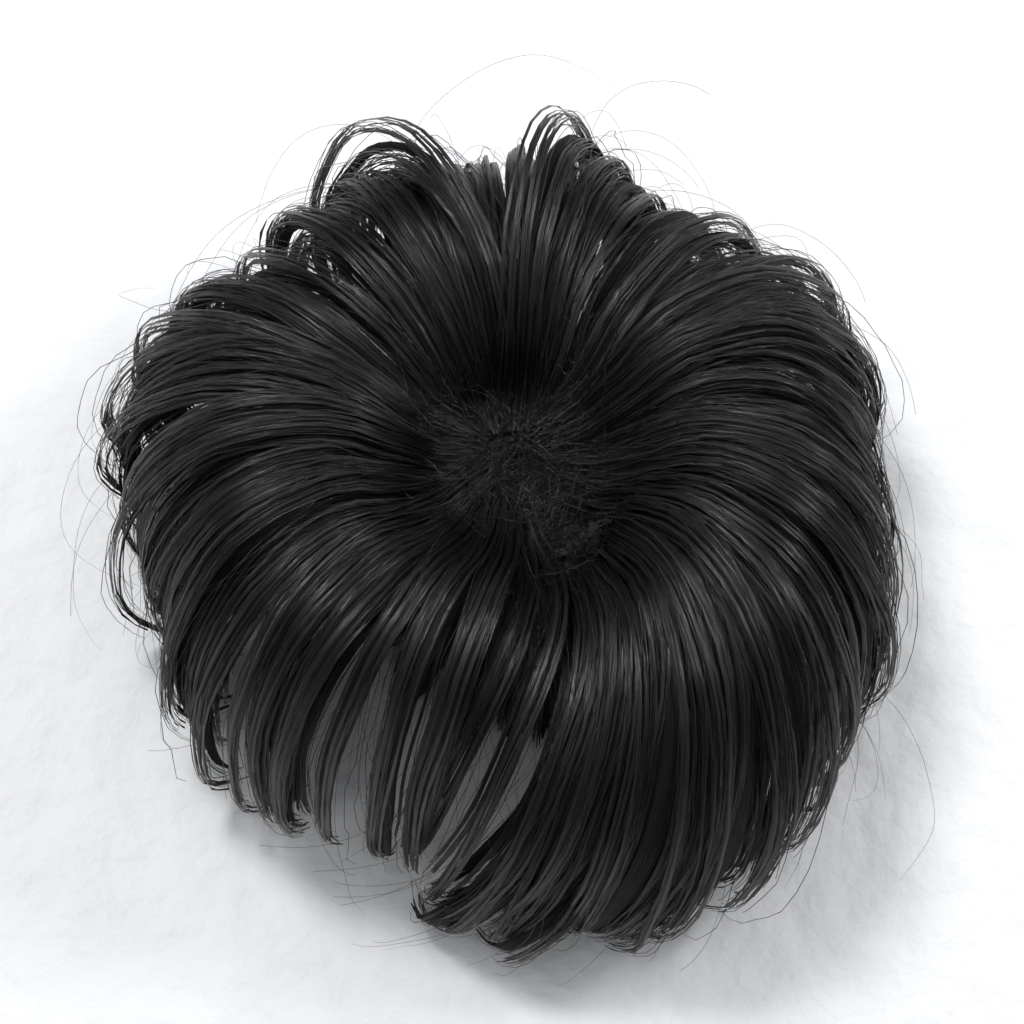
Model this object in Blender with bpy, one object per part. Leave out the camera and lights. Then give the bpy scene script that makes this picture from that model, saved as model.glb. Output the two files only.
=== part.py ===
# Top knot hairpiece: locks of false hair sewn in two rows round a stretch band.
# Metres, +Z up. The piece lies on a flat surface at z = 0. It is drawn round the axis of its stretch
# band, and the whole of it is then set with the middle of its box over the origin.
# Angles in the tables are degrees about the band's axis: 0 is +X (right), 90 is +Y (back).

import math
from collections import namedtuple

import bmesh
import bpy
from mathutils import Vector

# Driving sizes
hair_reach = 0.100  # from the band's axis to the end of a lock whose reach is 1
hair_height = 0.080  # from the surface to the top of a lock whose rise is 1
band_height = 0.042  # from the surface to the middle of the stretch band
hole_radius = 0.011  # relaxed hole in the stretch band
cord_radius = 0.0035  # covered elastic cord of the stretch band
piece_gap = 0.0003  # clearance between pieces that lie against each other
weft_wall = 0.002  # sewn weft tape, wound round the stretch band
weft_width = 0.014  # the tape's width, which stands upright
root_depth = 0.004  # sewn hair roots, from the tape outwards
lock_thickness = 0.004
lock_gap = 0.0018  # between two neighbouring locks, at hair_reach
tip_clearance = 0.0012  # a lock's lowest turn, above the surface
skirt_reach = 0.045  # from the axis to the outside of the short under hair, on the surface
skirt_wall = 0.0035
fold_depth = 0.0014  # how far the under hair's folds stand out, on the surface
fold_count = 22

# Places that follow from the driving sizes
cord_centre = hole_radius + cord_radius
weft_inner = cord_centre + cord_radius + piece_gap
weft_outer = weft_inner + weft_wall
root_inner = weft_outer + piece_gap
root_outer = root_inner + root_depth
root_middle = (root_inner + root_outer) / 2
row_top = band_height + weft_width / 2
row_bottom = band_height - weft_width / 2
row_middle = band_height + weft_width / 4

# How finely the faceted shapes are cut
lock_rings = 12
lock_sides = 8
bar_step = 4.0  # degrees
cord_turns = 36
cord_sides = 10
tape_turns = 48
points_per_fold = 3

# A lock leaves its root, climbs, arches over and comes down to the surface.
# out: share of the way from the root to the lock's reach. turn: share of its sweep.
# height: share of the way from the surface up to its rise.
Station = namedtuple("Station", "out turn height")
climb = (
    Station(0.10, 0.04, 0.86),
    Station(0.34, 0.20, 1.00),
    Station(0.66, 0.46, 0.97),
    Station(0.92, 0.68, 0.68),
    Station(1.00, 0.86, 0.30),
)

# How a lock swells and thins along its length, as shares of its own slot and thickness
Swell = namedtuple("Swell", "along width thickness")
swells = (
    Swell(0.00, 0.85, 0.65),
    Swell(0.20, 1.00, 0.90),
    Swell(0.55, 1.00, 1.00),
    Swell(0.80, 0.92, 0.80),
    Swell(1.00, 0.45, 0.40),
)

# root: angle of the root. sweep: how far the lock turns round the axis on its way to the tip.
# reach, rise: shares of hair_reach and hair_height. curl: share of its reach that the tip turns in.
# slot: degrees of the circle that the lock fills.
Lock = namedtuple("Lock", "name root sweep reach rise curl slot")
sections = {
    "hair_back": (
        Lock("a", 131, 6, 0.96, 0.70, 0.22, 6.0),
        Lock("b", 122, 7, 0.99, 0.82, 0.20, 7.0),
        Lock("c", 114, 5, 0.97, 0.84, 0.20, 8.5),
        Lock("d", 107, 3, 0.98, 0.86, 0.20, 7.5),
        Lock("e", 100, 1, 0.98, 0.86, 0.20, 7.5),
        Lock("arc", 96, 25, 1.04, 1.00, 0.12, 3.5),
    ),
    "hair_back_right": (
        Lock("crest", 91, -15, 1.03, 1.00, 0.10, 4.5),
        Lock("dome", 80, -9, 0.94, 0.84, 0.25, 8.0),
        Lock("loop_a", 70, -12, 0.94, 0.76, 0.22, 5.0),
        Lock("loop_b", 62, -13, 0.94, 0.76, 0.20, 5.0),
        Lock("loop_c", 54, -15, 0.95, 0.70, 0.20, 5.0),
    ),
    "hair_right_back": (
        Lock("a", 45, -20, 0.90, 0.84, 0.25, 9.5),
        Lock("b", 35, -23, 0.85, 0.86, 0.25, 9.5),
        Lock("c", 25, -24, 0.83, 0.84, 0.25, 9.5),
        Lock("d", 15, -24, 0.82, 0.82, 0.22, 9.5),
    ),
    "hair_right": (
        Lock("a", 5, -26, 0.83, 0.84, 0.15, 9.5),
        Lock("b", -5, -27, 0.86, 0.86, 0.10, 9.5),
        Lock("c", -15, -29, 0.89, 0.88, 0.12, 9.0),
    ),
    "hair_front_right": (
        Lock("a", -25, -35, 0.96, 0.90, 0.12, 10.0),
        Lock("b", -34, -39, 1.00, 0.90, 0.12, 10.0),
        Lock("c", -43, -41, 0.98, 0.86, 0.12, 10.0),
        Lock("d", -53, -41, 0.94, 0.80, 0.10, 9.5),
        Lock("e", -63, -38, 0.92, 0.74, 0.12, 9.0),
    ),
    "hair_front": (
        Lock("a", -75, -33, 0.84, 0.78, 0.12, 5.0),
        Lock("b", -87, -22, 0.80, 0.84, 0.10, 6.0),
        Lock("c", -98, -13, 0.79, 0.92, 0.10, 6.0),
    ),
    "hair_front_left": (
        Lock("a", -110, -5, 0.82, 0.96, 0.12, 7.0),
        Lock("b", -121, 0, 0.84, 0.94, 0.12, 8.0),
        Lock("c", -132, 6, 0.86, 0.90, 0.12, 8.0),
        Lock("d", -143, 10, 0.87, 0.86, 0.14, 8.0),
    ),
    "hair_left": (
        Lock("a", -154, 13, 0.89, 0.84, 0.14, 6.0),
        Lock("b", -166, 16, 0.88, 0.86, 0.12, 8.0),
        Lock("under", -167, 2, 0.80, 0.62, 0.15, 20.0),
        Lock("c", -178, 18, 0.86, 0.88, 0.14, 9.0),
        Lock("d", -190, 15, 0.89, 0.88, 0.22, 9.5),
    ),
    "hair_back_left": (
        Lock("a", -201, 10, 0.96, 0.80, 0.25, 10.0),
        Lock("b", -211, 7, 1.02, 0.74, 0.28, 9.5),
        Lock("c", -220, 4, 1.03, 0.70, 0.28, 9.0),
    ),
}

# The short under hair, from the tape down to the surface.
# fall: share of the way down. out: share of the way from the roots to skirt_reach.
Drop = namedtuple("Drop", "fall out")
drops = (
    Drop(0.00, 0.00),
    Drop(0.16, 0.06),
    Drop(0.36, 0.30),
    Drop(0.62, 0.66),
    Drop(0.84, 0.90),
    Drop(1.00, 1.00),
)

hair_black = (0.012, 0.012, 0.014, 1.0)
band_black = (0.020, 0.020, 0.022, 1.0)
tape_black = (0.028, 0.028, 0.030, 1.0)


def surface(name, colour, roughness):
    """A plain Principled material."""
    material = bpy.data.materials.new(name)
    material.use_nodes = True
    shader = material.node_tree.nodes["Principled BSDF"]
    shader.inputs["Base Color"].default_value = colour
    shader.inputs["Roughness"].default_value = roughness
    shader.inputs["Metallic"].default_value = 0.0
    return material


def add_object(name, bm, material, collection):
    """An object whose mesh is the closed shape in bm, with its faces turned outwards."""
    bmesh.ops.recalc_face_normals(bm, faces=bm.faces)
    mesh = bpy.data.meshes.new(name)
    bm.to_mesh(mesh)
    bm.free()
    mesh.materials.append(material)
    mesh.shade_smooth()
    mesh.set_sharp_from_angle(angle=math.radians(50))
    obj = bpy.data.objects.new(name, mesh)
    collection.objects.link(obj)
    return obj


def bridge(bm, first, second):
    """Faces between two rings of as many points."""
    count = len(first)
    for i in range(count):
        j = (i + 1) % count
        bm.faces.new((first[i], first[j], second[j], second[i]))


def turned(profile, steps, shift=None):
    """The closed profile of (radius, height) points, carried once round the axis.

    shift(angle, radius, height) gives how far a point stands out from its radius.
    """
    bm = bmesh.new()
    rings = []
    for step in range(steps):
        angle = 2 * math.pi * step / steps
        ring = []
        for radius, height in profile:
            out = radius + (shift(angle, radius, height) if shift else 0.0)
            ring.append(bm.verts.new((out * math.cos(angle), out * math.sin(angle), height)))
        rings.append(ring)
    for step in range(steps):
        bridge(bm, rings[step], rings[(step + 1) % steps])
    return bm


def polar(angle, radius, height):
    """A point from its angle in degrees, its radius and its height."""
    turn = math.radians(angle)
    return Vector((radius * math.cos(turn), radius * math.sin(turn), height))


def between(rows, along, column):
    """The value of a table's column at a place along it, eased from row to row."""
    for low, high in zip(rows, rows[1:]):
        if along <= high.along:
            share = (along - low.along) / (high.along - low.along)
            share = share * share * (3 - 2 * share)
            return getattr(low, column) * (1 - share) + getattr(high, column) * share
    return getattr(rows[-1], column)


def lock_knots(lock):
    """The few points that a lock's line goes through, from its root to its tip."""
    reach = lock.reach * hair_reach
    rise = lock.rise * hair_height
    knots = [polar(lock.root, root_middle, row_middle)]
    for station in climb:
        knots.append(
            polar(
                lock.root + lock.sweep * station.turn,
                root_middle + (reach - root_middle) * station.out,
                rise * station.height,
            )
        )
    lowest = tip_clearance + lock_thickness / 2
    knots.append(polar(lock.root + lock.sweep, reach * (1 - lock.curl), lowest))
    return knots


def smooth_line(knots, count):
    """Points on the Catmull-Rom curve through the knots, evenly spread over its spans."""
    ends = [2 * knots[0] - knots[1]] + knots + [2 * knots[-1] - knots[-2]]
    spans = len(knots) - 1
    line = []
    for i in range(count):
        place = i / (count - 1) * spans
        span = min(int(place), spans - 1)
        u = place - span
        a, b, c, d = ends[span : span + 4]
        line.append(
            0.5 * (2 * b + (c - a) * u + (2 * a - 5 * b + 4 * c - d) * u**2 + (3 * b - a - 3 * c + d) * u**3)
        )
    return line


def lock_frame(lock, before, point, after):
    """Directions across a lock and away from the hollow under it, at a point of its line."""
    angle = math.degrees(math.atan2(point.y, point.x))
    hollow = polar(angle, (root_middle + lock.reach * hair_reach) / 2, 0.25 * lock.rise * hair_height)
    along = (after - before).normalized()
    across = along.cross(point - hollow).normalized()
    return across, across.cross(along)


def lock_shape(lock):
    """One lock, as a closed flattened tube along its line."""
    line = smooth_line(lock_knots(lock), lock_rings)
    bm = bmesh.new()
    rings = []
    for i, point in enumerate(line):
        before, after = line[max(i - 1, 0)], line[min(i + 1, lock_rings - 1)]
        across, away = lock_frame(lock, before, point, after)
        share = i / (lock_rings - 1)
        radius = math.hypot(point.x, point.y)
        free = math.radians(lock.slot) - lock_gap / hair_reach
        wide = free * radius * between(swells, share, "width") / 2
        thick = lock_thickness * between(swells, share, "thickness") / 2
        ring = []
        for side in range(lock_sides):
            turn = 2 * math.pi * side / lock_sides
            corner = point + across * wide * math.cos(turn) + away * thick * math.sin(turn)
            ring.append(bm.verts.new(corner))
        rings.append(ring)
    for first, second in zip(rings, rings[1:]):
        bridge(bm, first, second)
    bm.faces.new(rings[0])
    bm.faces.new(rings[-1])
    return bm


def root_bar(start, end):
    """The sewn roots of one section: an arc of the upper row, between two angles."""
    steps = max(2, math.ceil(abs(end - start) / bar_step))
    corners = (
        (root_inner, band_height + piece_gap / 2),
        (root_outer, band_height + piece_gap / 2),
        (root_outer, row_top),
        (root_inner, row_top),
    )
    bm = bmesh.new()
    rings = []
    for step in range(steps + 1):
        angle = start + (end - start) * step / steps
        rings.append([bm.verts.new(polar(angle, radius, height)) for radius, height in corners])
    for first, second in zip(rings, rings[1:]):
        bridge(bm, first, second)
    bm.faces.new(rings[0])
    bm.faces.new(rings[-1])
    return bm


def section_ends():
    """For each section, the two angles that its root bar runs between.

    A bar ends half way to the next section's first root, less half of the clearance.
    """
    names = list(sections)
    spare = math.degrees(piece_gap / root_inner) / 2
    ends = {}
    for i, name in enumerate(names):
        before = sections[names[i - 1]][-1].root
        after = sections[names[(i + 1) % len(names)]][0].root
        first, last = sections[name][0].root, sections[name][-1].root
        gap_before = (before - first) % 360 / 2
        gap_after = (last - after) % 360 / 2
        ends[name] = (first + gap_before - spare, last - gap_after + spare)
    return ends


def hair_section(name, ends, material, carrier):
    """A section's locks, fused to the bar of their sewn roots."""
    section = add_object(name, root_bar(*ends), material, bpy.context.scene.collection)
    section.parent = carrier
    locks = bpy.data.collections.new(name + "_locks")
    bpy.context.scene.collection.children.link(locks)
    for lock in sections[name]:
        shape = add_object(name + "_" + lock.name, lock_shape(lock), material, locks)
        shape.parent = carrier
        shape.hide_render = True
        shape.display_type = "WIRE"
    fuse = section.modifiers.new("fuse locks", "BOOLEAN")
    fuse.operation = "UNION"
    fuse.operand_type = "COLLECTION"
    fuse.solver = "EXACT"
    fuse.collection = locks
    return section


def under_hair(material):
    """The short under hair: one folded, flared wall from the lower roots to the surface."""
    top = band_height - piece_gap / 2
    outer = []
    inner = []
    for drop in drops:
        height = top * (1 - drop.fall)
        outer.append((root_outer + (skirt_reach - root_outer) * drop.out, height))
        inside = root_inner + (skirt_reach - skirt_wall - root_inner) * drop.out
        inner.append((inside, height))
    profile = outer + inner[::-1]

    def fold(angle, _radius, height):
        low = 1 - height / top
        return fold_depth * low * low * math.cos(fold_count * angle)

    bm = turned(profile, fold_count * points_per_fold, fold)
    return add_object("under_hair", bm, material, bpy.context.scene.collection)


def weft_tape(material):
    """The sewn tape that carries both rows of hair, wound round the stretch band."""
    profile = (
        (weft_inner, row_bottom),
        (weft_outer, row_bottom),
        (weft_outer, row_top),
        (weft_inner, row_top),
    )
    bm = turned(profile, tape_turns)
    return add_object("weft_tape", bm, material, bpy.context.scene.collection)


def stretch_band(material):
    """The covered elastic ring that grips the wearer's own knot of hair."""
    profile = []
    for side in range(cord_sides):
        turn = 2 * math.pi * side / cord_sides
        out = cord_centre + cord_radius * math.cos(turn)
        profile.append((out, band_height + cord_radius * math.sin(turn)))
    bm = turned(profile, cord_turns)
    return add_object("stretch_band", bm, material, bpy.context.scene.collection)


def stand_over_origin(carrier, pieces):
    """Moves the carrier so that the middle of the pieces' box lies over the origin, on z = 0."""
    bpy.context.view_layer.update()
    graph = bpy.context.evaluated_depsgraph_get()
    corners = []
    for piece in pieces:
        seen = piece.evaluated_get(graph)
        corners += [seen.matrix_world @ Vector(corner) for corner in seen.bound_box]
    low = Vector(min(corner[axis] for corner in corners) for axis in range(3))
    high = Vector(max(corner[axis] for corner in corners) for axis in range(3))
    carrier.location = (-(low.x + high.x) / 2, -(low.y + high.y) / 2, -low.z)


def main():
    for obj in list(bpy.data.objects):
        bpy.data.objects.remove(obj)
    carrier = bpy.data.objects.new("band_axis", None)
    bpy.context.scene.collection.objects.link(carrier)

    hair = surface("black hair", hair_black, 0.35)
    pieces = [
        stretch_band(surface("elastic cover", band_black, 0.8)),
        weft_tape(surface("weft tape", tape_black, 0.85)),
        under_hair(hair),
    ]
    for piece in pieces:
        piece.parent = carrier
    for name, ends in section_ends().items():
        pieces.append(hair_section(name, ends, hair, carrier))
    stand_over_origin(carrier, pieces)


main()
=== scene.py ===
import math
import random
from collections import namedtuple

import bmesh
import bpy
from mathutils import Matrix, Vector


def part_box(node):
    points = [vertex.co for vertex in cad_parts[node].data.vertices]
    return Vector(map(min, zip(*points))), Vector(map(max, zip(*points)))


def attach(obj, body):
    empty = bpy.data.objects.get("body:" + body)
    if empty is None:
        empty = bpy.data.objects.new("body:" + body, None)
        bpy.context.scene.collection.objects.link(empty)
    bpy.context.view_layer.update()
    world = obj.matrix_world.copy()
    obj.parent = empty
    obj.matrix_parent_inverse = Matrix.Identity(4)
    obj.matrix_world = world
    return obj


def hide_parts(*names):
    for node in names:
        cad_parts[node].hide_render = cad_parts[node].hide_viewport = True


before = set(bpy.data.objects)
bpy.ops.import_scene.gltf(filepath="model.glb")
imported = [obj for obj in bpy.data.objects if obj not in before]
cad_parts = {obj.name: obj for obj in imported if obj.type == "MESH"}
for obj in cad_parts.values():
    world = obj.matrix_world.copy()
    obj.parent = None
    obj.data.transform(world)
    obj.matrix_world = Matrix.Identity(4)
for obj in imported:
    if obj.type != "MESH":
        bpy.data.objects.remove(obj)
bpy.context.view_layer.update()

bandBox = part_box("stretch_band")
bandAxis = (bandBox[0] + bandBox[1]) / 2  # the middle of the stretch band, which all hair is set out from
print("frame loaded, band axis at", tuple(round(v, 4) for v in bandAxis))


# Plain helpers


def polar(angle, radius, height):
    # a point from its angle in degrees and radius about the band's axis, and its height over the floor
    turn = math.radians(angle)
    return Vector((bandAxis.x + radius * math.cos(turn), bandAxis.y + radius * math.sin(turn), height))


def eased(low, high, share):
    share = min(max(share, 0.0), 1.0)
    return low + (high - low) * share * share * (3 - 2 * share)


def smoothLine(knots, pointsPerSpan):
    # a smooth curve through the knots, with so many points to each span
    ends = [2 * knots[0] - knots[1]] + knots + [2 * knots[-1] - knots[-2]]
    line = [knots[0]]
    for span, count in enumerate(pointsPerSpan):
        a, b, c, d = ends[span : span + 4]
        for step in range(1, count + 1):
            u = step / count
            square = (2 * a - 5 * b + 4 * c - d) * u**2
            cube = (3 * b - a - 3 * c + d) * u**3
            line.append(0.5 * (2 * b + (c - a) * u + square + cube))
    return line


def addNode(tree, kind, inputs=None, **settings):
    # a node with its settings, and its inputs linked or set
    node = tree.nodes.new(kind)
    for name, value in settings.items():
        setattr(node, name, value)
    for name, value in (inputs or {}).items():
        if isinstance(value, bpy.types.NodeSocket):
            tree.links.new(value, node.inputs[name])
        else:
            node.inputs[name].default_value = value
    return node


def meshObject(name, mesh):
    obj = bpy.data.objects.new(name, mesh)
    bpy.context.scene.collection.objects.link(obj)
    return obj


def makePlain(obj, modifier):
    # what the modifier makes becomes the object's own mesh
    bpy.context.view_layer.update()
    graph = bpy.context.evaluated_depsgraph_get()
    plain = bpy.data.meshes.new_from_object(obj.evaluated_get(graph), depsgraph=graph)
    obj.modifiers.remove(modifier)
    old = obj.data
    obj.data = plain
    bpy.data.meshes.remove(old)
    plain.name = obj.name
    return plain


# Materials


hairFinish = {
    "darkest": (0.0012, 0.0012, 0.0014, 1.0),
    "lightest": (0.0140, 0.0142, 0.0154, 1.0),
    "smooth": 0.23,
    "rough": 0.40,
    "specular": 0.50,
    "fibres": 2.4,  # across half a strand
    "relief": 0.9,
}
# a darker, duller copy of the hair's finish for the lock cores: painted shade for the inside of each lock
shadedCoreFinish = {
    "darkest": (0.0015, 0.0015, 0.0017, 1.0),
    "lightest": (0.0060, 0.0060, 0.0065, 1.0),
    "smooth": 0.55,
    "rough": 0.75,
    "specular": 0.25,
    "fibres": 4.0,
    "relief": 0.8,
}


def newMaterial(name):
    material = bpy.data.materials.new(name)
    material.use_nodes = True
    return material, material.node_tree, material.node_tree.nodes["Principled BSDF"]


strandMarks = ("tone", "girth", "along")  # what each point of a strand carries for its material


def makeHairMaterial(name, finish):
    # fine fibres run along each strand: girth goes across it, along runs down it, tone is its own number
    material, tree, shader = newMaterial(name)
    tone, girth, along = [
        addNode(tree, "ShaderNodeAttribute", attribute_name=key).outputs["Fac"] for key in strandMarks
    ]

    def blended(a, factor, b):
        return addNode(tree, "ShaderNodeMath", {0: a, 1: factor, 2: b}, operation="MULTIPLY_ADD").outputs[0]

    shifted = blended(tone, 91.0, 0.0)
    sockets = {0: blended(girth, finish["fibres"], shifted), 1: blended(along, 5.0, shifted)}
    spot = addNode(tree, "ShaderNodeCombineXYZ", sockets).outputs[0]
    fibres = addNode(tree, "ShaderNodeTexNoise", {"Vector": spot, "Scale": 1.0, "Detail": 2.0}).outputs["Fac"]
    mix = addNode(tree, "ShaderNodeMix", {"Factor": blended(fibres, tone, 0.0)}, data_type="RGBA")
    mix.inputs[6].default_value = finish["darkest"]
    mix.inputs[7].default_value = finish["lightest"]
    tree.links.new(mix.outputs[2], shader.inputs["Base Color"])
    sockets = {0: fibres, 1: 0.25, 2: 0.75, 3: finish["smooth"], 4: finish["rough"]}
    rough = addNode(tree, "ShaderNodeMapRange", sockets)
    tree.links.new(rough.outputs[0], shader.inputs["Roughness"])
    sockets = {"Height": fibres, "Strength": finish["relief"], "Distance": 0.0004}
    bump = addNode(tree, "ShaderNodeBump", sockets)
    tree.links.new(bump.outputs["Normal"], shader.inputs["Normal"])
    shader.inputs["Specular IOR Level"].default_value = finish["specular"]
    return material


def makeCoverMaterial():
    # woven cover of the elastic ring, whose fine ribs run round the cord; here a fine cellular bump and a
    # grainy tint stand for them
    material, tree, shader = newMaterial("woven elastic cover")
    place = addNode(tree, "ShaderNodeTexCoord").outputs["Object"]
    weave = addNode(tree, "ShaderNodeTexVoronoi", {"Vector": place, "Scale": 1600.0})
    grain = addNode(tree, "ShaderNodeTexNoise", {"Vector": place, "Scale": 900.0, "Detail": 3.0})
    tint = addNode(tree, "ShaderNodeMix", {"Factor": grain.outputs["Fac"]}, data_type="RGBA")
    tint.inputs[6].default_value = (0.006, 0.006, 0.007, 1.0)
    tint.inputs[7].default_value = (0.030, 0.030, 0.033, 1.0)
    tree.links.new(tint.outputs[2], shader.inputs["Base Color"])
    sockets = {"Height": weave.outputs["Distance"], "Strength": 0.6, "Distance": 0.0004}
    bump = addNode(tree, "ShaderNodeBump", sockets)
    tree.links.new(bump.outputs["Normal"], shader.inputs["Normal"])
    shader.inputs["Roughness"].default_value = 0.8
    return material


def makeTapeMaterial(name, light):
    # sewn tape: a plain weave with a soft nap
    material, tree, shader = newMaterial(name)
    place = addNode(tree, "ShaderNodeTexCoord").outputs["Object"]
    sockets = {"Vector": place, "Scale": 420.0, "Distortion": 1.5}
    threads = addNode(tree, "ShaderNodeTexWave", sockets, bands_direction="Z")
    nap = addNode(tree, "ShaderNodeTexNoise", {"Vector": place, "Scale": 700.0, "Detail": 4.0})
    tint = addNode(tree, "ShaderNodeMix", {"Factor": nap.outputs["Fac"]}, data_type="RGBA")
    tint.inputs[6].default_value = (light * 0.3, light * 0.3, light * 0.32, 1.0)
    tint.inputs[7].default_value = (light, light, light * 1.05, 1.0)
    tree.links.new(tint.outputs[2], shader.inputs["Base Color"])
    sockets = {"Height": threads.outputs["Fac"], "Strength": 0.5, "Distance": 0.0003}
    bump = addNode(tree, "ShaderNodeBump", sockets)
    tree.links.new(bump.outputs["Normal"], shader.inputs["Normal"])
    shader.inputs["Roughness"].default_value = 0.85
    return material


def makeFloorMaterial():
    material, tree, shader = newMaterial("pale floor")
    place = addNode(tree, "ShaderNodeTexCoord").outputs["Object"]
    cloud = addNode(tree, "ShaderNodeTexNoise", {"Vector": place, "Scale": 9.0, "Detail": 6.0})
    nap = addNode(tree, "ShaderNodeTexNoise", {"Vector": place, "Scale": 55.0, "Detail": 5.0})
    tint = addNode(tree, "ShaderNodeMix", {"Factor": cloud.outputs["Fac"]}, data_type="RGBA")
    tint.inputs[6].default_value = (0.79, 0.80, 0.815, 1.0)
    tint.inputs[7].default_value = (0.93, 0.93, 0.94, 1.0)
    bump = addNode(tree, "ShaderNodeBump", {"Height": nap.outputs["Fac"], "Strength": 0.35, "Distance": 0.01})
    tree.links.new(bump.outputs["Normal"], shader.inputs["Normal"])
    tree.links.new(tint.outputs[2], shader.inputs["Base Color"])
    shader.inputs["Roughness"].default_value = 0.9
    shader.inputs["Specular IOR Level"].default_value = 0.2
    return material


hairMaterial = makeHairMaterial("black fibre", hairFinish)
# the cores get the fibre's darker copy: painted shade inside the locks
shadedCoreMaterial = makeHairMaterial("shaded inner fibre", shadedCoreFinish)
coverMaterial = makeCoverMaterial()
tapeMaterial = makeTapeMaterial("weft tape weave", 0.030)
threadMaterial = makeTapeMaterial("sewing thread", 0.045)
print("materials made")


# The strand maker, shared by everything that is hair


ClumpSet = namedtuple("ClumpSet", "perDegree drift lift wobble shortest seed")
StrandSet = namedtuple(
    "StrandSet", "perClump halfWidth flatness spread tipSpread frizz stray twist shortest seed"
)
strandInputs = (
    "Clump Drift", "Clump Lift", "Clump Wobble", "Shortest Clump", "Half Width", "Flatness", "Spread",
    "Tip Spread", "Frizz", "Stray", "Twist", "Shortest Share",
)


def makeStrandTree():
    # guides in, closed strands out: each guide is copied into clumps, and each clump into strands
    tree = bpy.data.node_groups.new("hair strands", "GeometryNodeTree")
    face = tree.interface
    face.new_socket("Guides", in_out="INPUT", socket_type="NodeSocketGeometry")
    for name in strandInputs:
        face.new_socket(name, in_out="INPUT", socket_type="NodeSocketFloat")
    for name in ("Strands Per Clump", "Clump Seed", "Strand Seed"):
        face.new_socket(name, in_out="INPUT", socket_type="NodeSocketInt")
    face.new_socket("Material", in_out="INPUT", socket_type="NodeSocketMaterial")
    face.new_socket("Strands", in_out="OUTPUT", socket_type="NodeSocketGeometry")
    entry = addNode(tree, "NodeGroupInput").outputs

    def reckon(operation, a, b=0.0):
        return addNode(tree, "ShaderNodeMath", {0: a, 1: b}, operation=operation).outputs[0]

    def product(*factors):
        result = factors[0]
        for factor in factors[1:]:
            result = reckon("MULTIPLY", result, factor)
        return result

    def scaled(vector, factor):
        sockets = {0: vector, "Scale": factor}
        return addNode(tree, "ShaderNodeVectorMath", sockets, operation="SCALE").outputs[0]

    def summed(*vectors):
        result = vectors[0]
        for vector in vectors[1:]:
            sockets = {0: result, 1: vector}
            result = addNode(tree, "ShaderNodeVectorMath", sockets, operation="ADD").outputs[0]
        return result

    def unit(vector):
        return addNode(tree, "ShaderNodeVectorMath", {0: vector}, operation="NORMALIZE").outputs[0]

    def named(name, kind="FLOAT"):
        source = addNode(tree, "GeometryNodeInputNamedAttribute", {"Name": name}, data_type=kind)
        return source.outputs["Attribute"]

    def ranged(value, low, high, start, end):
        # value from low..high to start..end, held at the ends
        sockets = {0: value, 1: low, 2: high, 3: start, 4: end}
        return addNode(tree, "ShaderNodeMapRange", sockets, interpolation_type="SMOOTHSTEP").outputs[0]

    def draw(seed, offset, low, high):
        sockets = {2: low, 3: high, "Seed": reckon("ADD", seed, offset)}
        return addNode(tree, "FunctionNodeRandomValue", sockets, data_type="FLOAT").outputs[1]

    def stored(geometry, name, value, domain):
        sockets = {"Geometry": geometry, "Name": name, "Value": value}
        settings = {"data_type": "FLOAT", "domain": domain}
        return addNode(tree, "GeometryNodeStoreNamedAttribute", sockets, **settings).outputs[0]

    def copied(geometry, amount):
        sockets = {"Geometry": geometry, "Amount": amount}
        return addNode(tree, "GeometryNodeDuplicateElements", sockets, domain="SPLINE").outputs[0]

    def moved(geometry, offset):
        return addNode(tree, "GeometryNodeSetPosition", {"Geometry": geometry, "Offset": offset}).outputs[0]

    def wander(along, rate, who, reach):
        # a smooth offset along a strand, its own for each value of who
        sockets = {0: product(along, rate), 1: product(who, 37.0), 2: product(who, 11.0)}
        spot = addNode(tree, "ShaderNodeCombineXYZ", sockets).outputs[0]
        cloud = addNode(tree, "ShaderNodeTexNoise", {"Vector": spot, "Scale": 1.0, "Detail": 1.0})
        sockets = {0: cloud.outputs["Color"], 1: (0.5, 0.5, 0.5)}
        centred = addNode(tree, "ShaderNodeVectorMath", sockets, operation="SUBTRACT").outputs[0]
        return scaled(centred, reach)

    along = named("along")
    across = named("across", "FLOAT_VECTOR")
    away = named("away", "FLOAT_VECTOR")

    # clumps: spread over the lock, drifting across it, higher or lower than it, and wandering
    clumps = addNode(tree, "GeometryNodeMeshToCurve", {"Mesh": entry["Guides"]}).outputs[0]
    clumps = copied(clumps, named("clumps"))
    for offset, name in enumerate(("clumpAcross", "clumpAway", "clumpDrift", "clumpLift", "clumpSelf")):
        clumps = stored(clumps, name, draw(entry["Clump Seed"], offset, -1.0, 1.0), "CURVE")
    clumps = stored(clumps, "clumpEnd", draw(entry["Clump Seed"], 6, entry["Shortest Clump"], 1.0), "CURVE")
    clumps = stored(clumps, "clumpTone", draw(entry["Clump Seed"], 7, 0.0, 1.0), "CURVE")
    drift = product(named("clumpDrift"), entry["Clump Drift"], reckon("SUBTRACT", along, 0.35))
    bow = product(along, reckon("SUBTRACT", 1.15, along), 3.0)
    roaming = product(entry["Clump Wobble"], ranged(along, 0.05, 0.5, 0.35, 1.0))
    clumps = moved(
        clumps,
        summed(
            scaled(across, reckon("ADD", named("clumpAcross"), drift)),
            scaled(away, named("clumpAway")),
            scaled(unit(away), product(named("clumpLift"), entry["Clump Lift"], bow)),
            wander(along, 2.4, named("clumpSelf"), roaming),
        ),
    )

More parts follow.
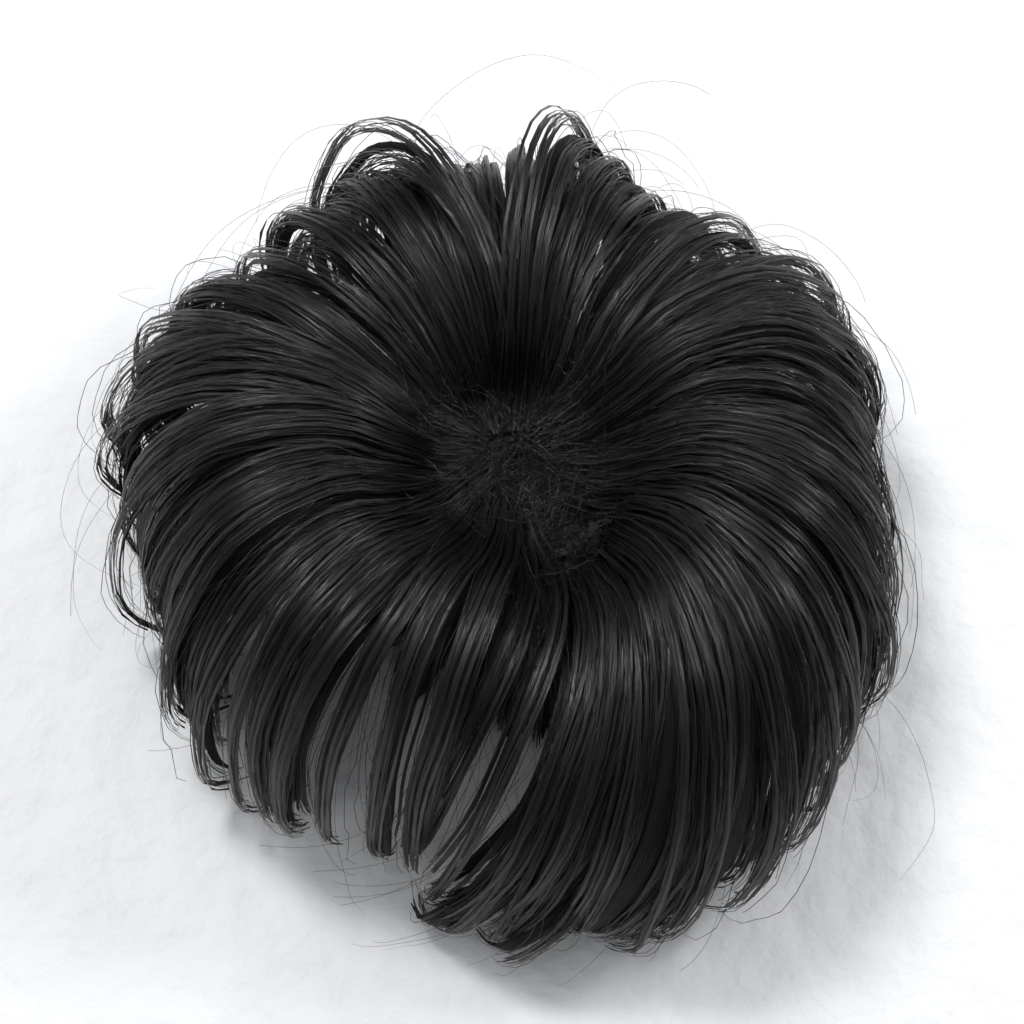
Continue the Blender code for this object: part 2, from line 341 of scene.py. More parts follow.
    # strands: gathered round their clump, closer at the tip, and now and then astray
    strands = copied(clumps, entry["Strands Per Clump"])
    for offset, name in enumerate(("strandAcross", "strandAway", "strandSelf", "strandStray")):
        strands = stored(strands, name, draw(entry["Strand Seed"], offset, -1.0, 1.0), "CURVE")
    ownTone = product(draw(entry["Strand Seed"], 7, 0.0, 1.0), 0.55)
    strands = stored(strands, "tone", reckon("ADD", ownTone, product(named("clumpTone"), 0.45)), "CURVE")
    astray = product(reckon("POWER", reckon("ABSOLUTE", named("strandStray")), 7.0), entry["Stray"])
    spread = product(
        entry["Spread"], ranged(along, 0.35, 1.0, 1.0, entry["Tip Spread"]), reckon("ADD", 1.0, astray)
    )
    fuzz = product(
        entry["Frizz"], ranged(along, 0.0, 0.35, 2.0, 1.0), reckon("ADD", 0.6, product(astray, 1.2))
    )
    strands = moved(
        strands,
        summed(
            scaled(unit(across), product(named("strandAcross"), spread)),
            scaled(unit(away), product(named("strandAway"), spread, 0.7)),
            wander(along, 7.0, named("strandSelf"), fuzz),
        ),
    )
    strands = addNode(
        tree,
        "GeometryNodeTrimCurve",
        {
            "Curve": strands,
            "Start": draw(entry["Strand Seed"], 11, 0.0, 0.07),
            "End": product(draw(entry["Strand Seed"], 12, entry["Shortest Share"], 1.0), named("clumpEnd")),
        },
        mode="FACTOR",
    ).outputs[0]
    strands = addNode(
        tree, "GeometryNodeSetCurveNormal", {"Curve": strands, "Normal": unit(away)}, mode="FREE"
    ).outputs[0]
    tilt = product(draw(entry["Strand Seed"], 13, -1.0, 1.0), entry["Twist"])
    strands = addNode(tree, "GeometryNodeSetCurveTilt", {"Curve": strands, "Tilt": tilt}).outputs[0]

    # each strand is a three-sided tube, flattened where it stands for a band of fibres side by side
    section = addNode(tree, "GeometryNodeCurvePrimitiveCircle", {"Resolution": 3, "Radius": 1.0}).outputs[0]
    place = addNode(tree, "GeometryNodeInputPosition").outputs[0]
    corner = addNode(tree, "ShaderNodeSeparateXYZ", {0: place})
    section = stored(section, "girth", corner.outputs[1], "POINT")
    flat = addNode(tree, "ShaderNodeCombineXYZ", {0: entry["Flatness"], 1: 1.0, 2: 1.0}).outputs[0]
    section = addNode(tree, "GeometryNodeTransform", {"Geometry": section, "Scale": flat}).outputs[0]
    rootTaper = ranged(along, 0.0, 0.2, 0.6, 1.0)
    tipTaper = ranged(along, 0.65, 1.0, 1.0, 0.30)
    width = product(entry["Half Width"], tipTaper, rootTaper)
    sockets = {"Curve": strands, "Profile Curve": section, "Scale": width, "Fill Caps": True}
    tubes = addNode(tree, "GeometryNodeCurveToMesh", sockets).outputs[0]
    tubes = addNode(tree, "GeometryNodeSetShadeSmooth", {"Geometry": tubes, "Shade Smooth": True}).outputs[0]
    brink = reckon("GREATER_THAN", reckon("ABSOLUTE", named("girth")), 0.6)
    sockets = {"Geometry": tubes, "Selection": brink, "Shade Smooth": False}
    tubes = addNode(tree, "GeometryNodeSetShadeSmooth", sockets, domain="EDGE").outputs[0]
    tubes = addNode(tree, "GeometryNodeRealizeInstances", {"Geometry": tubes}).outputs[0]
    sockets = {"Geometry": tubes, "Material": entry["Material"]}
    tubes = addNode(tree, "GeometryNodeSetMaterial", sockets).outputs[0]
    addNode(tree, "NodeGroupOutput", {"Strands": tubes})
    return tree


strandTree = makeStrandTree()
floorClearance = 0.0002  # no hair goes lower


def growStrands(name, guides, clumpSet, strandSet, material):
    # guides: (line of (point, across, away), number of clumps). Gives one plain mesh object
    mesh = bpy.data.meshes.new(name + " guides")
    points, edges, acrosses, aways, alongs, counts = [], [], [], [], [], []
    for line, clumps in guides:
        start = len(points)
        last = len(line) - 1
        for i, (point, across, away) in enumerate(line):
            points.append(point)
            acrosses.extend(across)
            aways.extend(away)
            alongs.append(i / last)
            counts.append(float(clumps))
        edges.extend((start + i, start + i + 1) for i in range(last))
    mesh.from_pydata(points, edges, [])
    mesh.attributes.new("across", "FLOAT_VECTOR", "POINT").data.foreach_set("vector", acrosses)
    mesh.attributes.new("away", "FLOAT_VECTOR", "POINT").data.foreach_set("vector", aways)
    mesh.attributes.new("along", "FLOAT", "POINT").data.foreach_set("value", alongs)
    mesh.attributes.new("clumps", "FLOAT", "POINT").data.foreach_set("value", counts)
    obj = meshObject(name, mesh)
    grow = obj.modifiers.new("strands", "NODES")
    grow.node_group = strandTree
    values = {
        "Clump Drift": clumpSet.drift,
        "Clump Lift": clumpSet.lift,
        "Clump Wobble": clumpSet.wobble,
        "Shortest Clump": clumpSet.shortest,
        "Clump Seed": clumpSet.seed,
        "Strands Per Clump": strandSet.perClump,
        "Half Width": strandSet.halfWidth,
        "Flatness": strandSet.flatness,
        "Spread": strandSet.spread,
        "Tip Spread": strandSet.tipSpread,
        "Frizz": strandSet.frizz,
        "Stray": strandSet.stray,
        "Twist": strandSet.twist,
        "Shortest Share": strandSet.shortest,
        "Strand Seed": strandSet.seed,
        "Material": material,
    }
    for socket in strandTree.interface.items_tree:
        if socket.in_out == "INPUT" and socket.name in values:
            grow[socket.identifier] = values[socket.name]
    plain = makePlain(obj, grow)
    kept = {"position", *strandMarks, "material_index", "sharp_face", "sharp_edge"}
    for attribute in [a.name for a in plain.attributes]:
        if attribute not in kept and not attribute.startswith("."):
            plain.attributes.remove(plain.attributes[attribute])
    for point in plain.vertices:
        point.co.z = max(point.co.z, floorClearance)
    return obj


def joined(first, *others):
    # one piece of several
    everything = [first, *others]
    with bpy.context.temp_override(
        active_object=first, object=first, selected_objects=everything, selected_editable_objects=everything
    ):
        bpy.ops.object.join()
    return first


def finishHair(obj, *nodes):
    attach(obj, "root")
    if nodes:
        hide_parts(*nodes)
    print(obj.name, len(obj.data.polygons), "faces")


# The long hair, lock by lock


longHair = {
    "reach": 0.100,  # from the band's axis to the end of a lock whose reach is 1
    "rise": 0.080,  # from the floor to the top of a lock whose rise is 1
    "ringRadius": 0.0226,  # where a lock leaves the ring
    "ringHeight": 0.0500,
    "tipHeight": 0.0016,
    "seedStep": 50,  # from one section's seed to the next's
    "halfThickness": 0.0034,
    "leastRadius": 0.012,  # nearer the axis than this a lock gets no narrower
    "flatPoints": 4,  # how many of its points lie flat, on the way out of the whorl
    "pointsPerSpan": (1, 2, 3, 4, 4, 4, 4, 3),
}
longClumps = ClumpSet(perDegree=1.15, drift=1.0, lift=0.0044, wobble=0.0062, shortest=0.87, seed=100)
fibreBands = StrandSet(
    perClump=8, halfWidth=0.00046, flatness=0.20, spread=0.0023, tipSpread=0.42, frizz=0.0009, stray=1.2,
    twist=0.45, shortest=0.90, seed=5000,
)
singleHairs = StrandSet(
    perClump=9, halfWidth=0.00010, flatness=1.0, spread=0.0030, tipSpread=0.60, frizz=0.0020, stray=3.6,
    twist=0.5, shortest=0.84, seed=9000,
)

Lock = namedtuple("Lock", "root sweep reach rise curl slot fill dense")
Station = namedtuple("Station", "out turn height")
Whorl = namedtuple("Whorl", "right back radius height drift wobble gather")
climb = (
    Station(0.10, 0.04, 0.86),
    Station(0.34, 0.20, 1.00),
    Station(0.66, 0.46, 0.97),
    Station(0.92, 0.68, 0.68),
    Station(1.00, 0.86, 0.30),
)
# root, sweep and slot in degrees; reach and rise as shares of the long hair's own; curl as a share of reach;
# fill: how much of its slot the hair spreads over; dense: clumps against the usual number.
# whorl: the small round from which the section's hair starts, from the band's axis, and its height; then how
# far its clumps drift and wander, and how closely their strands gather, against the usual
sections = {
    "hair_back": (
        Whorl(-0.004, 0.010, 0.003, 0.0475, 0.9, 0.9, 0.9),
        Lock(131, 6, 0.95, 0.70, 0.22, 6.0, 0.45, 0.6),
        Lock(122, 7, 0.98, 0.80, 0.20, 7.0, 0.50, 0.7),
        Lock(114, 5, 0.96, 0.84, 0.20, 8.5, 0.85, 0.9),
        Lock(107, 3, 0.96, 0.82, 0.20, 7.5, 1.15, 1.1),
        Lock(99, 1, 0.95, 0.80, 0.20, 8.5, 1.25, 1.1),
        Lock(96, 25, 1.02, 0.98, 0.14, 3.5, 0.55, 0.9),
    ),
    "hair_back_right": (
        Whorl(-0.002, 0.010, 0.003, 0.0475, 0.9, 0.9, 0.9),
        Lock(91, -15, 0.98, 0.98, 0.12, 4.5, 0.60, 0.9),
        Lock(88, -3, 0.93, 0.78, 0.22, 8.0, 1.20, 1.1),
        Lock(79, -9, 0.94, 0.82, 0.25, 8.5, 1.15, 1.0),
        Lock(70, -12, 0.94, 0.74, 0.22, 5.0, 0.60, 0.9),
        Lock(62, -13, 0.94, 0.76, 0.20, 5.0, 0.60, 0.9),
        Lock(54, -15, 0.95, 0.70, 0.20, 5.0, 0.70, 0.9),
        Lock(64, -12, 0.84, 0.62, 0.20, 22.0, 1.0, 0.45),
    ),
    "hair_right_back": (
        Whorl(0.000, 0.008, 0.004, 0.0480, 1.9, 1.6, 1.0),
        Lock(45, -20, 0.90, 0.84, 0.25, 9.5, 1.15, 1.0),
        Lock(35, -23, 0.85, 0.86, 0.25, 9.5, 1.15, 1.0),
        Lock(25, -24, 0.83, 0.84, 0.25, 9.5, 1.15, 1.0),
        Lock(15, -24, 0.82, 0.82, 0.22, 9.5, 1.10, 1.0),
    ),
    "hair_right": (
        Whorl(0.003, 0.003, 0.005, 0.0485, 1.9, 1.6, 1.0),
        Lock(5, -26, 0.83, 0.84, 0.15, 9.5, 1.15, 1.0),
        Lock(-5, -27, 0.86, 0.86, 0.10, 9.5, 1.15, 1.0),
        Lock(-15, -29, 0.88, 0.88, 0.12, 9.0, 1.10, 1.0),
    ),
    "hair_front_right": (
        Whorl(0.014, -0.011, 0.004, 0.0500, 2.0, 1.7, 1.0),
        Lock(-25, -35, 0.94, 0.90, 0.12, 10.0, 1.10, 1.0),
        Lock(-34, -39, 0.97, 0.90, 0.12, 10.0, 1.10, 1.0),
        Lock(-43, -41, 0.96, 0.86, 0.12, 10.0, 1.05, 1.0),
        Lock(-53, -41, 0.93, 0.80, 0.10, 9.5, 0.95, 1.0),
        Lock(-63, -38, 0.91, 0.74, 0.12, 9.0, 0.50, 0.7),
        Lock(-45, -53, 0.97, 0.56, 0.10, 7.0, 0.80, 0.6),
        Lock(-54, -55, 0.93, 0.48, 0.12, 7.0, 0.80, 0.6),
    ),
    "hair_front": (
        Whorl(-0.002, 0.002, 0.003, 0.0490, 0.6, 1.0, 0.80),
        Lock(-75, -33, 0.83, 0.78, 0.12, 5.0, 0.45, 0.30),
        Lock(-87, -25, 0.80, 0.84, 0.10, 6.0, 0.70, 0.22),
        Lock(-98, -11, 0.80, 0.92, 0.10, 6.0, 0.45, 0.55),
    ),
    "hair_front_left": (
        Whorl(-0.004, 0.004, 0.003, 0.0490, 0.6, 1.0, 0.75),
        Lock(-110, -2, 0.83, 0.96, 0.12, 7.0, 0.60, 0.50),
        Lock(-121, -2, 0.83, 0.94, 0.12, 8.0, 0.95, 0.22),
        Lock(-132, 4, 0.87, 0.90, 0.12, 8.0, 0.45, 0.80),
        Lock(-143, 12, 0.87, 0.86, 0.14, 8.0, 0.65, 0.60),
    ),
    "hair_left": (
        Whorl(-0.006, 0.007, 0.003, 0.0485, 1.6, 1.3, 0.9),
        Lock(-154, 13, 0.89, 0.84, 0.14, 6.0, 0.45, 0.6),
        Lock(-166, 16, 0.88, 0.86, 0.12, 8.0, 1.00, 1.0),
        Lock(-167, 2, 0.80, 0.62, 0.15, 20.0, 1.10, 0.7),
        Lock(-178, 18, 0.86, 0.88, 0.14, 9.0, 1.15, 1.0),
        Lock(-190, 15, 0.89, 0.88, 0.22, 9.5, 1.10, 1.0),
    ),
    "hair_back_left": (
        Whorl(-0.005, 0.009, 0.003, 0.0480, 1.8, 1.5, 1.0),
        Lock(-201, 10, 0.96, 0.80, 0.25, 10.0, 1.15, 1.0),
        Lock(-211, 7, 1.00, 0.74, 0.28, 9.5, 1.10, 1.0),
        Lock(-220, 4, 1.01, 0.70, 0.28, 9.0, 1.05, 1.0),
    ),
}


def lockKnots(lock, whorl):
    reach = lock.reach * longHair["reach"]
    rise = lock.rise * longHair["rise"]
    base = longHair["ringRadius"]
    start = polar(lock.root, whorl.radius, whorl.height) + Vector((whorl.right, whorl.back, 0))
    knots = [start]
    for station in climb:
        angle = lock.root + lock.sweep * station.turn
        knots.append(polar(angle, base + (reach - base) * station.out, rise * station.height))
    overRing = start.lerp(knots[1], 0.55)
    overRing.z = 0.35 * start.z + 0.65 * max(longHair["ringHeight"], 0.5 * (start.z + knots[1].z) - 0.002)
    knots.insert(1, overRing)
    knots.append(polar(lock.root + lock.sweep * 0.95, reach * (1 - 0.36 * lock.curl), 0.09 * rise))
    knots.append(polar(lock.root + lock.sweep, reach * (1 - lock.curl), longHair["tipHeight"]))
    return knots


def lockFrame(lock, before, point, after):
    # directions across the lock, and away from the hollow under it
    angle = math.degrees(math.atan2(point.y - bandAxis.y, point.x - bandAxis.x))
    middle = (longHair["ringRadius"] + lock.reach * longHair["reach"]) / 2
    hollow = polar(angle, middle, 0.25 * lock.rise * longHair["rise"])
    forward = (after - before).normalized()
    across = forward.cross(point - hollow).normalized()
    return across, across.cross(forward)


def lockGuide(lock, whorl):
    line = smoothLine(lockKnots(lock, whorl), longHair["pointsPerSpan"])
    last = len(line) - 1
    guide = []
    for i, point in enumerate(line):
        share = i / last
        if i < longHair["flatPoints"]:
            forward = (line[i + 1] - line[max(i - 1, 0)]).normalized()
            across = forward.cross(Vector((0, 0, 1))).normalized()
            away = across.cross(forward)
        else:
            across, away = lockFrame(lock, line[i - 1], point, line[min(i + 1, last)])
        radius = max(math.hypot(point.x - bandAxis.x, point.y - bandAxis.y), longHair["leastRadius"])
        wide = radius * math.radians(lock.slot) / 2 * eased(1.15, lock.fill, (share - 0.25) / 0.25)
        wide *= eased(1.0, 0.7, (share - 0.72) / 0.28)
        thick = longHair["halfThickness"] * eased(0.45, 1.0, share / 0.25)
        thick *= eased(1.0, 0.6, (share - 0.7) / 0.3)
        guide.append((point, across * wide, away * thick))
    return guide


coreShape = {
    "leastDense": 0.45,  # a lock with less hair than this has no core
    "rings": 24,
    "sides": 10,
    "width": 0.55,
    "thickness": 0.30,
    "start": 0.16,
    "end": 0.90,
    "ridge": 0.25,
}


def coreMesh(name, guides):
    # the heart of each lock: a ridged, flattened tube that keeps the floor from showing through, coloured
    # darker than the hair as painted shade of the lock's inside
    bm = bmesh.new()
    layers = [bm.verts.layers.float.new(key) for key in strandMarks]
    for guide, _clumps in guides:
        last = len(guide) - 1
        rings = []
        for i in range(coreShape["rings"]):
            share = i / (coreShape["rings"] - 1)
            place = (coreShape["start"] + (coreShape["end"] - coreShape["start"]) * share) * last
            low = min(int(place), last - 1)
            part = place - low
            point, across, away = [a.lerp(b, part) for a, b in zip(guide[low], guide[low + 1])]
            swell = eased(0.25, 1.0, share / 0.15) * eased(1.0, 0.12, (share - 0.72) / 0.28)
            ring = []
            for side in range(coreShape["sides"]):
                turn = 2 * math.pi * side / coreShape["sides"]
                ridge = 1 + coreShape["ridge"] * (1 if side % 2 else -1)
                offset = across * coreShape["width"] * math.cos(turn) * swell
                offset += away * coreShape["thickness"] * math.sin(turn) * swell * ridge
                corner = bm.verts.new(point + offset)
                # a low fixed tone keeps the core near its darkest colour: painted shade
                for layer, value in zip(layers, (0.2, 3 * math.cos(turn), share)):
                    corner[layer] = value
                ring.append(corner)
            rings.append(ring)
        for first, second in zip(rings, rings[1:]):
            for side in range(coreShape["sides"]):
                after = (side + 1) % coreShape["sides"]
                bm.faces.new((first[side], first[after], second[after], second[side]))
        bm.faces.new(rings[0])
        bm.faces.new(rings[-1])
    bmesh.ops.recalc_face_normals(bm, faces=bm.faces)
    mesh = bpy.data.meshes.new(name + " core")
    bm.to_mesh(mesh)
    bm.free()
    mesh.materials.append(shadedCoreMaterial)
    mesh.shade_smooth()
    return mesh


for number, (section, (whorl, *locks)) in enumerate(sections.items()):
    guides = []
    for lock in locks:
        clumps = max(2, round(lock.slot * lock.dense * longClumps.perDegree))
        guides.append((lockGuide(lock, whorl), clumps))
    cored = [guide for guide, lock in zip(guides, locks) if lock.dense >= coreShape["leastDense"]]
    clumpSet = longClumps._replace(
        drift=longClumps.drift * whorl.drift,
        wobble=longClumps.wobble * whorl.wobble,
        seed=longClumps.seed + longHair["seedStep"] * number,
    )
    name = section.replace("hair_", "strands_")
    bands = fibreBands._replace(spread=fibreBands.spread * whorl.gather)
    piece = growStrands(name, guides, clumpSet, bands, hairMaterial)
    hairs = singleHairs._replace(spread=singleHairs.spread * whorl.gather)
    loose = growStrands(name + "_single", guides, clumpSet, hairs, hairMaterial)
    core = meshObject(name + "_core", coreMesh(name, cored))
    finishHair(joined(piece, loose, core), section)


# The short under hair, from the tape down to the floor


underHair = {
    "reach": 0.0445,
    "topRadius": 0.0215,
    "topHeight": 0.0400,
    "halfThickness": 0.0022,
    "guides": 46,
    "sweep": -8.0,
    "clumps": 2,
    "seed": 5,
}
underClumps = ClumpSet(perDegree=1, drift=0.9, lift=0.0015, wobble=0.0045, shortest=0.9, seed=700)
underBands = fibreBands._replace(perClump=4, shortest=0.92, spread=0.0018)
underHairs = singleHairs._replace(perClump=5, shortest=0.90, spread=0.0022)


def underGuides():
    draw = random.Random(underHair["seed"])
    guides = []
    for i in range(underHair["guides"]):
        angle = 360 * i / underHair["guides"] + draw.uniform(-2, 2)
        reach = underHair["reach"] * draw.uniform(0.94, 1.03)
        base, top = underHair["topRadius"], underHair["topHeight"]
        knots = []
        for fall, out in ((0, 0), (0.16, 0.08), (0.36, 0.32), (0.62, 0.66), (0.84, 0.90), (0.99, 1.0)):
            turn = underHair["sweep"] * fall
            knots.append(polar(angle + turn, base + (reach - base) * out, top * (1 - fall)))
        line = smoothLine(knots, (2, 2, 3, 3, 2))
        last = len(line) - 1
        guide = []
        for k, point in enumerate(line):
            forward = (line[min(k + 1, last)] - line[max(k - 1, 0)]).normalized()
            outward = Vector((point.x - bandAxis.x, point.y - bandAxis.y, 0.02)).normalized()
            across = forward.cross(outward).normalized()
            radius = math.hypot(point.x - bandAxis.x, point.y - bandAxis.y)
            wide = radius * math.pi / underHair["guides"] * 1.2
            guide.append((point, across * wide, across.cross(forward) * underHair["halfThickness"]))
        guides.append((guide, underHair["clumps"]))
    return guides


guides = underGuides()
piece = growStrands("strands_under", guides, underClumps, underBands, hairMaterial)
loose = growStrands("strands_under_single", guides, underClumps, underHairs, hairMaterial)
core = meshObject("strands_under_core", coreMesh("strands_under", guides))
finishHair(joined(piece, loose, core), "under_hair")


# Hair that has come loose: flyaways round the outside, and frizz at the roots


flyaways = {
    "count": 330,
    "pointsPerSpan": (2, 4, 8, 9, 9, 8, 7, 6),
    "arcPoints": 10,
    "seed": 21,
    "halfWidth": 0.00005,
}
rootFrizz = {
    "count": 1000,
    "crossing": 0.4,  # the share that lies over the ring's mouth
    "radii": (0.012, 0.030),  # from the band's axis, where a hair starts
    "crossingRadii": (0.012, 0.017),
    "height": 0.048,  # over the mouth; the hair starts higher outside innerRadius
    "innerRadius": 0.016,
    "longest": 0.028,
    "bends": 4,
    "seed": 33,
    "halfWidth": 0.00011,
}
looseSet = StrandSet(
    perClump=1, halfWidth=0.00006, flatness=1.0, spread=0.0, tipSpread=1.0, frizz=0.0006, stray=0.0,
    twist=0.0, shortest=0.70, seed=12000,
)
looseClumps = ClumpSet(perDegree=1, drift=0.0, lift=0.0, wobble=0.006, shortest=1.0, seed=800)
bareSpread = 0.0001  # how far to the side a bare hair may lie from its guide
# the longest of them one by one: knots in millimetres from the foot of the band's axis
looseArcs = (
    ((60, -7, 70), (81, -15, 42), (97, -27, 22), (93, -48, 12), (78, -57, 5)),
    ((-20, 60, 74), (-24, 88, 66), (2, 97, 80), (28, 99, 60)),
    ((-45, 55, 66), (-66, 73, 52), (-88, 63, 40), (-91, 52, 24), (-84, 40, 10)),
    ((40, 50, 66), (62, 66, 55), (80, 60, 40), (90, 47, 20)),
    ((30, -60, 60), (44, -86, 40), (38, -103, 20), (20, -108, 4)),
    ((62, -40, 60), (84, -52, 36), (92, -70, 18), (80, -86, 3)),
    ((-50, 20, 70), (-78, 28, 52), (-97, 22, 30), (-98, 6, 10)),
    ((-40, -50, 62), (-66, -58, 40), (-86, -52, 16), (-94, -40, 2)),
    ((10, 50, 78), (20, 82, 84), (42, 98, 66), (60, 96, 40)),
    ((-60, 35, 66), (-84, 46, 50), (-98, 60, 30), (-92, 76, 8)),
    (
        (-33, 16, 77), (-30, 14.5, 77.5), (-27, 15.5, 76), (-24, 14.5, 75), (-20, 17, 72), (-15, 19, 68),
        (-8, 26, 62),
    ),
    ((-27, 34, 77), (-32, 30, 79), (-34, 25, 79), (-32, 20, 78)),
)


def plainGuide(line):
    # a guide for one bare hair
    last = len(line) - 1
    guide = []
    for k, point in enumerate(line):
        forward = (line[min(k + 1, last)] - line[max(k - 1, 0)]).normalized()
        across = forward.cross(Vector((0.1, 0.2, 1.0))).normalized()
        guide.append((point, across * bareSpread, across.cross(forward) * bareSpread))
    return guide


def flyawayGuides():
    draw = random.Random(flyaways["seed"])
    allLocks = [(whorl, lock) for whorl, *locks in sections.values() for lock in locks]
    guides = []
    for arc in looseArcs:
        knots = [Vector((bandAxis.x + x / 1000, bandAxis.y + y / 1000, z / 1000)) for x, y, z in arc]
        line = smoothLine(knots, (flyaways["arcPoints"],) * (len(knots) - 1))
        guides.append((plainGuide(line), 1))
    for _ in range(flyaways["count"]):
        whorl, lock = draw.choice(allLocks)
        stray = lock._replace(
            root=lock.root + draw.uniform(-6, 6),
            sweep=lock.sweep + draw.uniform(-45, 45),
            reach=lock.reach * draw.uniform(0.92, 1.10),
            rise=lock.rise * draw.uniform(0.85, 1.10),
            curl=lock.curl * draw.uniform(-0.3, 1.6),
        )
        line = smoothLine(lockKnots(stray, whorl), flyaways["pointsPerSpan"])
        guides.append((plainGuide(line), 1))
    return guides


def frizzGuides():
    draw = random.Random(rootFrizz["seed"])
    guides = []
    for _ in range(rootFrizz["count"]):
        angle = draw.uniform(0, 360)
        crossing = draw.random() < rootFrizz["crossing"]
        radius = draw.uniform(*rootFrizz["crossingRadii" if crossing else "radii"])
        height = rootFrizz["height"] + 0.5 * max(0.0, radius - rootFrizz["innerRadius"])
        point = polar(angle, radius, height)
        heading = angle + (180 if crossing else 0) + draw.uniform(-75, 75)
        knots = [point]
        pace = rootFrizz["longest"] * draw.uniform(0.35, 1.0) / rootFrizz["bends"]
        climbing = draw.uniform(0.0, 0.4) if crossing else draw.uniform(0.3, 1.1)
        for _ in range(rootFrizz["bends"]):
            heading += draw.uniform(-35, 35)
            turn = math.radians(heading)
            climbing += draw.uniform(-0.5, 0.4)
            point = point + Vector((math.cos(turn), math.sin(turn), climbing)).normalized() * pace
            knots.append(point)
        guides.append((plainGuide(smoothLine(knots, (2,) * rootFrizz["bends"])), 1))
    return guides


flyawaySet = looseSet._replace(halfWidth=flyaways["halfWidth"])
finishHair(growStrands("flyaway_hairs", flyawayGuides(), looseClumps, flyawaySet, hairMaterial))
frizzClumps = looseClumps._replace(wobble=0.004)
frizzSet = looseSet._replace(halfWidth=rootFrizz["halfWidth"], shortest=0.95, seed=13000)
finishHair(growStrands("root_frizz", frizzGuides(), frizzClumps, frizzSet, hairMaterial))


# The sewn parts


seam = {
    "radius": 0.0226,
    "height": 0.0478,
    "stitches": 150,
    "leftOut": 2,  # where the row starts and ends
    "thread": 0.00022,
    "stitchLength": 0.0021,
    "lean": 0.25,
    "waver": 0.0003,  # up and down along the row
}


def makeSeamTree():
    # a line in: a cord along it with stitches across it out
    tree = bpy.data.node_groups.new("machine stitches", "GeometryNodeTree")
    face = tree.interface
    face.new_socket("Line", in_out="INPUT", socket_type="NodeSocketGeometry")
    face.new_socket("Stitches", in_out="INPUT", socket_type="NodeSocketInt")
    face.new_socket("Thread", in_out="INPUT", socket_type="NodeSocketFloat")
    face.new_socket("Stitch Length", in_out="INPUT", socket_type="NodeSocketFloat")
    face.new_socket("Material", in_out="INPUT", socket_type="NodeSocketMaterial")
    face.new_socket("Seam", in_out="OUTPUT", socket_type="NodeSocketGeometry")
    entry = addNode(tree, "NodeGroupInput").outputs
    line = addNode(tree, "GeometryNodeMeshToCurve", {"Mesh": entry["Line"]}).outputs[0]
    girth = addNode(tree, "GeometryNodeCurvePrimitiveCircle", {"Resolution": 6, "Radius": 1.0}).outputs[0]
    sockets = {"Curve": line, "Profile Curve": girth, "Scale": entry["Thread"], "Fill Caps": True}
    cord = addNode(tree, "GeometryNodeCurveToMesh", sockets).outputs[0]
    spots = addNode(tree, "GeometryNodeResampleCurve", {"Curve": line, "Count": entry["Stitches"]}).outputs[0]
    spots = addNode(tree, "GeometryNodeCurveToPoints", {"Curve": spots}, mode="EVALUATED")
    sockets = {"Segments": 8, "Rings": 5, "Radius": 1.0}
    ball = addNode(tree, "GeometryNodeMeshUVSphere", sockets).outputs[0]
    sockets = {2: -seam["lean"], 3: seam["lean"], "Seed": 3}
    lean = addNode(tree, "FunctionNodeRandomValue", sockets, data_type="FLOAT").outputs[1]
    spin = addNode(tree, "ShaderNodeCombineXYZ", {2: lean}).outputs[0]
    sockets = {"Rotation": spots.outputs["Rotation"], "Rotate By": spin}
    turned = addNode(tree, "FunctionNodeRotateRotation", sockets, rotation_space="LOCAL").outputs[0]
    sockets = {0: entry["Stitch Length"], 1: entry["Thread"], 2: entry["Thread"]}
    size = addNode(tree, "ShaderNodeCombineXYZ", sockets).outputs[0]
    sockets = {"Points": spots.outputs["Points"], "Instance": ball, "Rotation": turned, "Scale": size}
    stitches = addNode(tree, "GeometryNodeInstanceOnPoints", sockets).outputs[0]
    together = addNode(tree, "GeometryNodeJoinGeometry")
    tree.links.new(stitches, together.inputs[0])
    tree.links.new(cord, together.inputs[0])
    whole = addNode(tree, "GeometryNodeSetShadeSmooth", {"Geometry": together.outputs[0]}).outputs[0]
    whole = addNode(tree, "GeometryNodeRealizeInstances", {"Geometry": whole}).outputs[0]
    sockets = {"Geometry": whole, "Material": entry["Material"]}
    whole = addNode(tree, "GeometryNodeSetMaterial", sockets).outputs[0]
    addNode(tree, "NodeGroupOutput", {"Seam": whole})
    return tree


def makeSeam():
    count = seam["stitches"]
    points = [
        polar(360 * i / count, seam["radius"], seam["height"] + seam["waver"] * math.sin(i * 0.7))
        for i in range(count - seam["leftOut"])
    ]
    mesh = bpy.data.meshes.new("stitched_seam line")
    mesh.from_pydata(points, [(i, i + 1) for i in range(len(points) - 1)], [])
    obj = meshObject("stitched_seam", mesh)
    tree = makeSeamTree()
    sew = obj.modifiers.new("seam", "NODES")
    sew.node_group = tree
    values = {
        "Stitches": count,
        "Thread": seam["thread"],
        "Stitch Length": seam["stitchLength"] / 2,
        "Material": threadMaterial,
    }
    for socket in tree.interface.items_tree:
        if socket.in_out == "INPUT" and socket.name in values:
            sew[socket.identifier] = values[socket.name]
    makePlain(obj, sew)
    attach(obj, "root")
    print(obj.name, len(obj.data.polygons), "faces")


makeSeam()
for node, material in (("stretch_band", coverMaterial), ("weft_tape", tapeMaterial)):
    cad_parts[node].data.materials.clear()
    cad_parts[node].data.materials.append(material)
print("sewn parts finished")


# Floor, light and camera


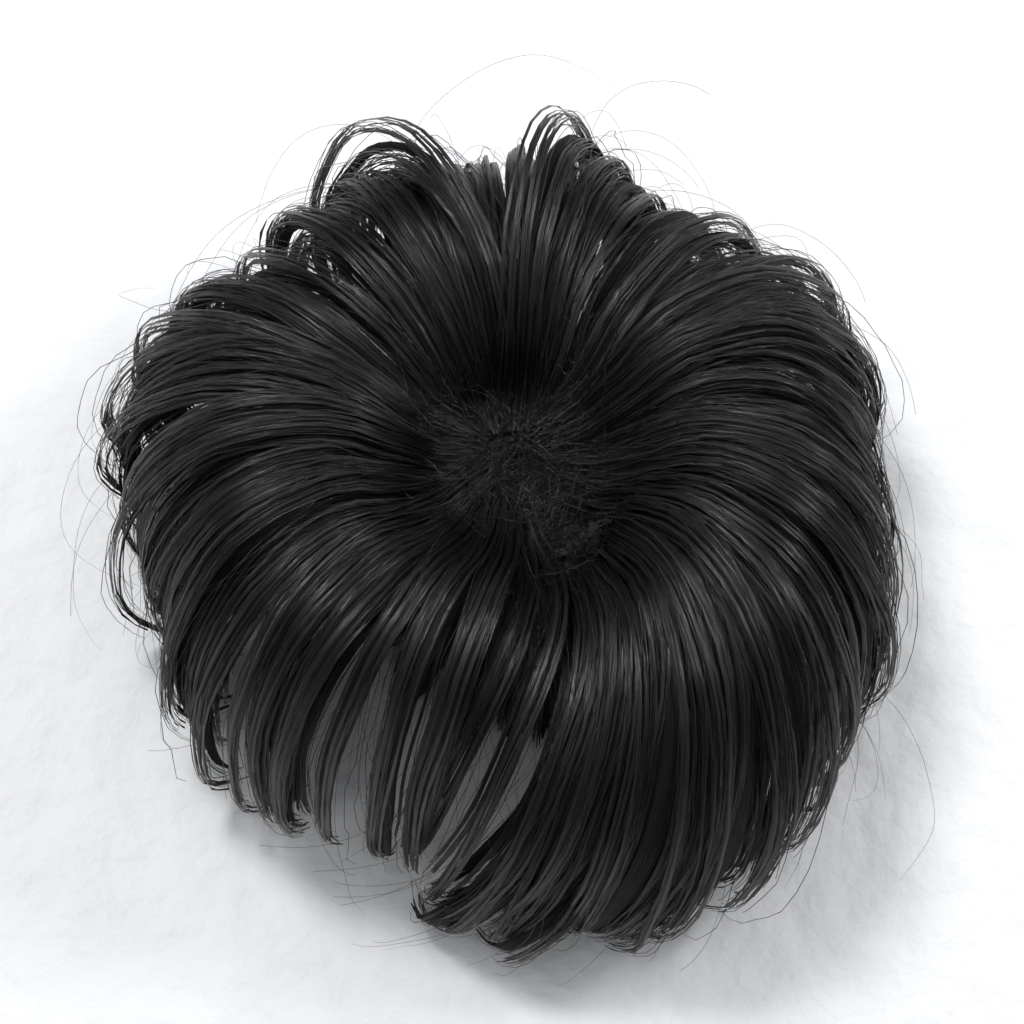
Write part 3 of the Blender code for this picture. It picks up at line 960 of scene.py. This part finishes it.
studio = {
    "floorSize": 3.0,
    "worldStrength": 0.26,
    "worldColour": (0.93, 0.96, 1.0, 1.0),
    "lights": (
        # name, place, size, power
        ("overhead", (-0.20, -0.10, 1.70), 2.4, 12.0),
        ("key", (-0.38, 0.36, 1.10), 0.32, 8.0),
        ("side", (0.95, 0.30, 0.85), 0.35, 6.5),
    ),
    "lightsAim": 0.04,  # how high on the band's axis the lights point
    "aim": (-0.0023, 0.0, 0.035),  # the point at the middle of the picture, from the foot of the band's axis
    "elevation": 63.0,
    "distance": 0.62,
    "focalPixels": 2666.0,
    "imagePixels": 1024,
}


def makeFloor():
    half = studio["floorSize"] / 2
    mesh = bpy.data.meshes.new("floor")
    corners = [(-half, -half, 0), (half, -half, 0), (half, half, 0), (-half, half, 0)]
    mesh.from_pydata(corners, [], [(0, 1, 2, 3)])
    mesh.materials.append(makeFloorMaterial())
    meshObject("floor", mesh)


def addAreaLight(name, place, size, power, target):
    data = bpy.data.lights.new(name, "AREA")
    data.shape = "DISK"
    data.size = size
    data.energy = power
    light = bpy.data.objects.new(name, data)
    light.location = place
    light.rotation_euler = (Vector(target) - Vector(place)).to_track_quat("-Z", "Y").to_euler()
    bpy.context.scene.collection.objects.link(light)


def makeStudio():
    world = bpy.data.worlds.new("studio")
    bpy.context.scene.world = world
    world.use_nodes = True
    sky = world.node_tree.nodes["Background"].inputs
    sky["Color"].default_value = studio["worldColour"]
    sky["Strength"].default_value = studio["worldStrength"]
    target = (bandAxis.x, bandAxis.y, studio["lightsAim"])
    for name, place, size, power in studio["lights"]:
        addAreaLight(name, place, size, power, target)


def makeCamera():
    data = bpy.data.cameras.new("camera")
    data.sensor_width = 36.0
    data.lens = studio["focalPixels"] / studio["imagePixels"] * data.sensor_width
    data.clip_start = 0.01
    data.clip_end = 20.0
    camera = bpy.data.objects.new("camera", data)
    elevation = math.radians(studio["elevation"])
    aim = Vector((bandAxis.x, bandAxis.y, 0)) + Vector(studio["aim"])
    back = Vector((0, -math.cos(elevation), math.sin(elevation)))
    camera.location = aim + back * studio["distance"]
    camera.rotation_euler = (-back).to_track_quat("-Z", "Y").to_euler()
    bpy.context.scene.collection.objects.link(camera)
    bpy.context.scene.camera = camera


makeFloor()
makeStudio()
makeCamera()
bpy.context.scene.view_settings.view_transform = "Standard"
print("stage, light and camera made")
